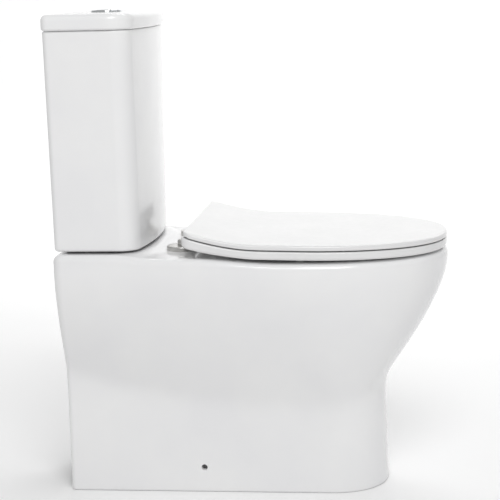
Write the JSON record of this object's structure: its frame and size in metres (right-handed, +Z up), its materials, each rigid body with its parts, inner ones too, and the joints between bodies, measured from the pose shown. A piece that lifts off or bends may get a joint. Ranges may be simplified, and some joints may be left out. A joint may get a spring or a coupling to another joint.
{
  "type": "close coupled toilet",
  "caption": "White close coupled toilet with a skirted back-to-wall pan, tapered cistern, round dual flush button and slim soft-close seat on round hinge plates.",
  "frame": {"origin": "on the floor, under the middle of the whole part, halfway between the wall face and the front of the rim", "axes": "+Z up, +Y towards the wall behind the toilet, -Y towards the user, +X to the right seen from the front"},
  "size_m": [0.368, 0.64, 0.8075],
  "materials": {
    "glazed_china": "white glaze, high gloss",
    "seat_resin": "moulded white, smooth gloss",
    "seat_buffer": "soft matt white",
    "chrome_trim": "polished",
    "satin_steel": "satin",
    "spring_steel": "drawn wire",
    "brass_bolts": "turned",
    "valve_plastic": "moulded",
    "blue_plastic": "moulded",
    "grey_plastic": "moulded",
    "red_rubber": "moulded",
    "black_rubber": "moulded"
  },
  "bodies": {
    "bowl_and_tank": {"pan": "glazed_china", "cistern": "glazed_china", "flush_valve_body": "valve_plastic", "flush_valve_nut": "grey_plastic", "flush_valve_gasket": "black_rubber", "fill_valve_body": "valve_plastic", "fill_valve_pin": "spring_steel", "fill_valve_nut": "grey_plastic", "fill_valve_washer": "black_rubber", "coupling_seal": "black_rubber", "coupling_bolts": "brass_bolts", "coupling_bolt_washers": "black_rubber", "coupling_wing_nuts": "brass_bolts", "cistern_pads": "black_rubber", "hinge_discs": "satin_steel", "hinge_posts": "satin_steel", "hinge_pins": "satin_steel", "hinge_studs": "satin_steel", "hinge_stud_cones": "black_rubber", "hinge_stud_nuts": "grey_plastic"},
    "cover": {"cistern_cover": "glazed_china", "button_bezel": "chrome_trim", "bezel_nut": "grey_plastic", "half_button_spring": "spring_steel", "full_button_spring": "spring_steel"},
    "half_button": {"half_flush_button": "chrome_trim"},
    "full_button": {"full_flush_button": "chrome_trim"},
    "valve_tube": {"flush_valve_tube": "blue_plastic", "flush_valve_seal": "red_rubber"},
    "float_cup": {"fill_valve_float": "blue_plastic"},
    "float_arm": {"fill_valve_arm": "valve_plastic"},
    "ring": {"seat_ring": "seat_resin", "ring_buffers": "seat_buffer"},
    "seat_lid": {"seat_cover": "seat_resin", "cover_buffers": "seat_buffer"}
  },
  "joints": [
    {"name": "seat_ring_hinge", "type": "hinge", "parent": "bowl_and_tank", "child": "ring", "pos_m": [0, 0.101, 0.44], "axis": [-1, 0, 0], "range_deg": [0, 97]},
    {"name": "seat_cover_hinge", "type": "hinge", "parent": "ring", "child": "seat_lid", "pos_m": [0, 0.101, 0.44], "axis": [1, 0, 0], "range_deg": [-97, 0]},
    {"name": "cistern_cover_lift", "type": "slide", "parent": "bowl_and_tank", "child": "cover", "axis": [0, 0, 1], "range_m": [0, 0.1]},
    {"name": "half_flush_press", "type": "slide", "parent": "cover", "child": "half_button", "axis": [0, 0, -1], "range_m": [0, 0.006], "stiffness_N_per_m": 400, "springref_m": -0.003, "deforming": ["half_button_spring"]},
    {"name": "full_flush_press", "type": "slide", "parent": "cover", "child": "full_button", "axis": [0, 0, -1], "range_m": [0, 0.006], "stiffness_N_per_m": 600, "springref_m": -0.003, "deforming": ["full_button_spring"]},
    {"name": "flush_valve_lift", "type": "slide", "parent": "bowl_and_tank", "child": "valve_tube", "axis": [0, 0, 1], "range_m": [0, 0.02]},
    {"name": "float_drop", "type": "slide", "parent": "bowl_and_tank", "child": "float_cup", "axis": [0, 0, -1], "range_m": [0, 0.02]},
    {"name": "float_arm_tilt", "type": "hinge", "parent": "bowl_and_tank", "child": "float_arm", "pos_m": [-0.096, 0.25, 0.696], "axis": [0, 1, 0], "range_deg": [0, 28]}
  ],
  "couplings": [
    {"joint": "flush_valve_lift", "follows": "full_flush_press", "ratio": 3.3333},
    {"joint": "float_drop", "follows": "full_flush_press", "ratio": 3.3333},
    {"joint": "float_arm_tilt", "follows": "full_flush_press", "rad_per_m": 81.4}
  ]
}
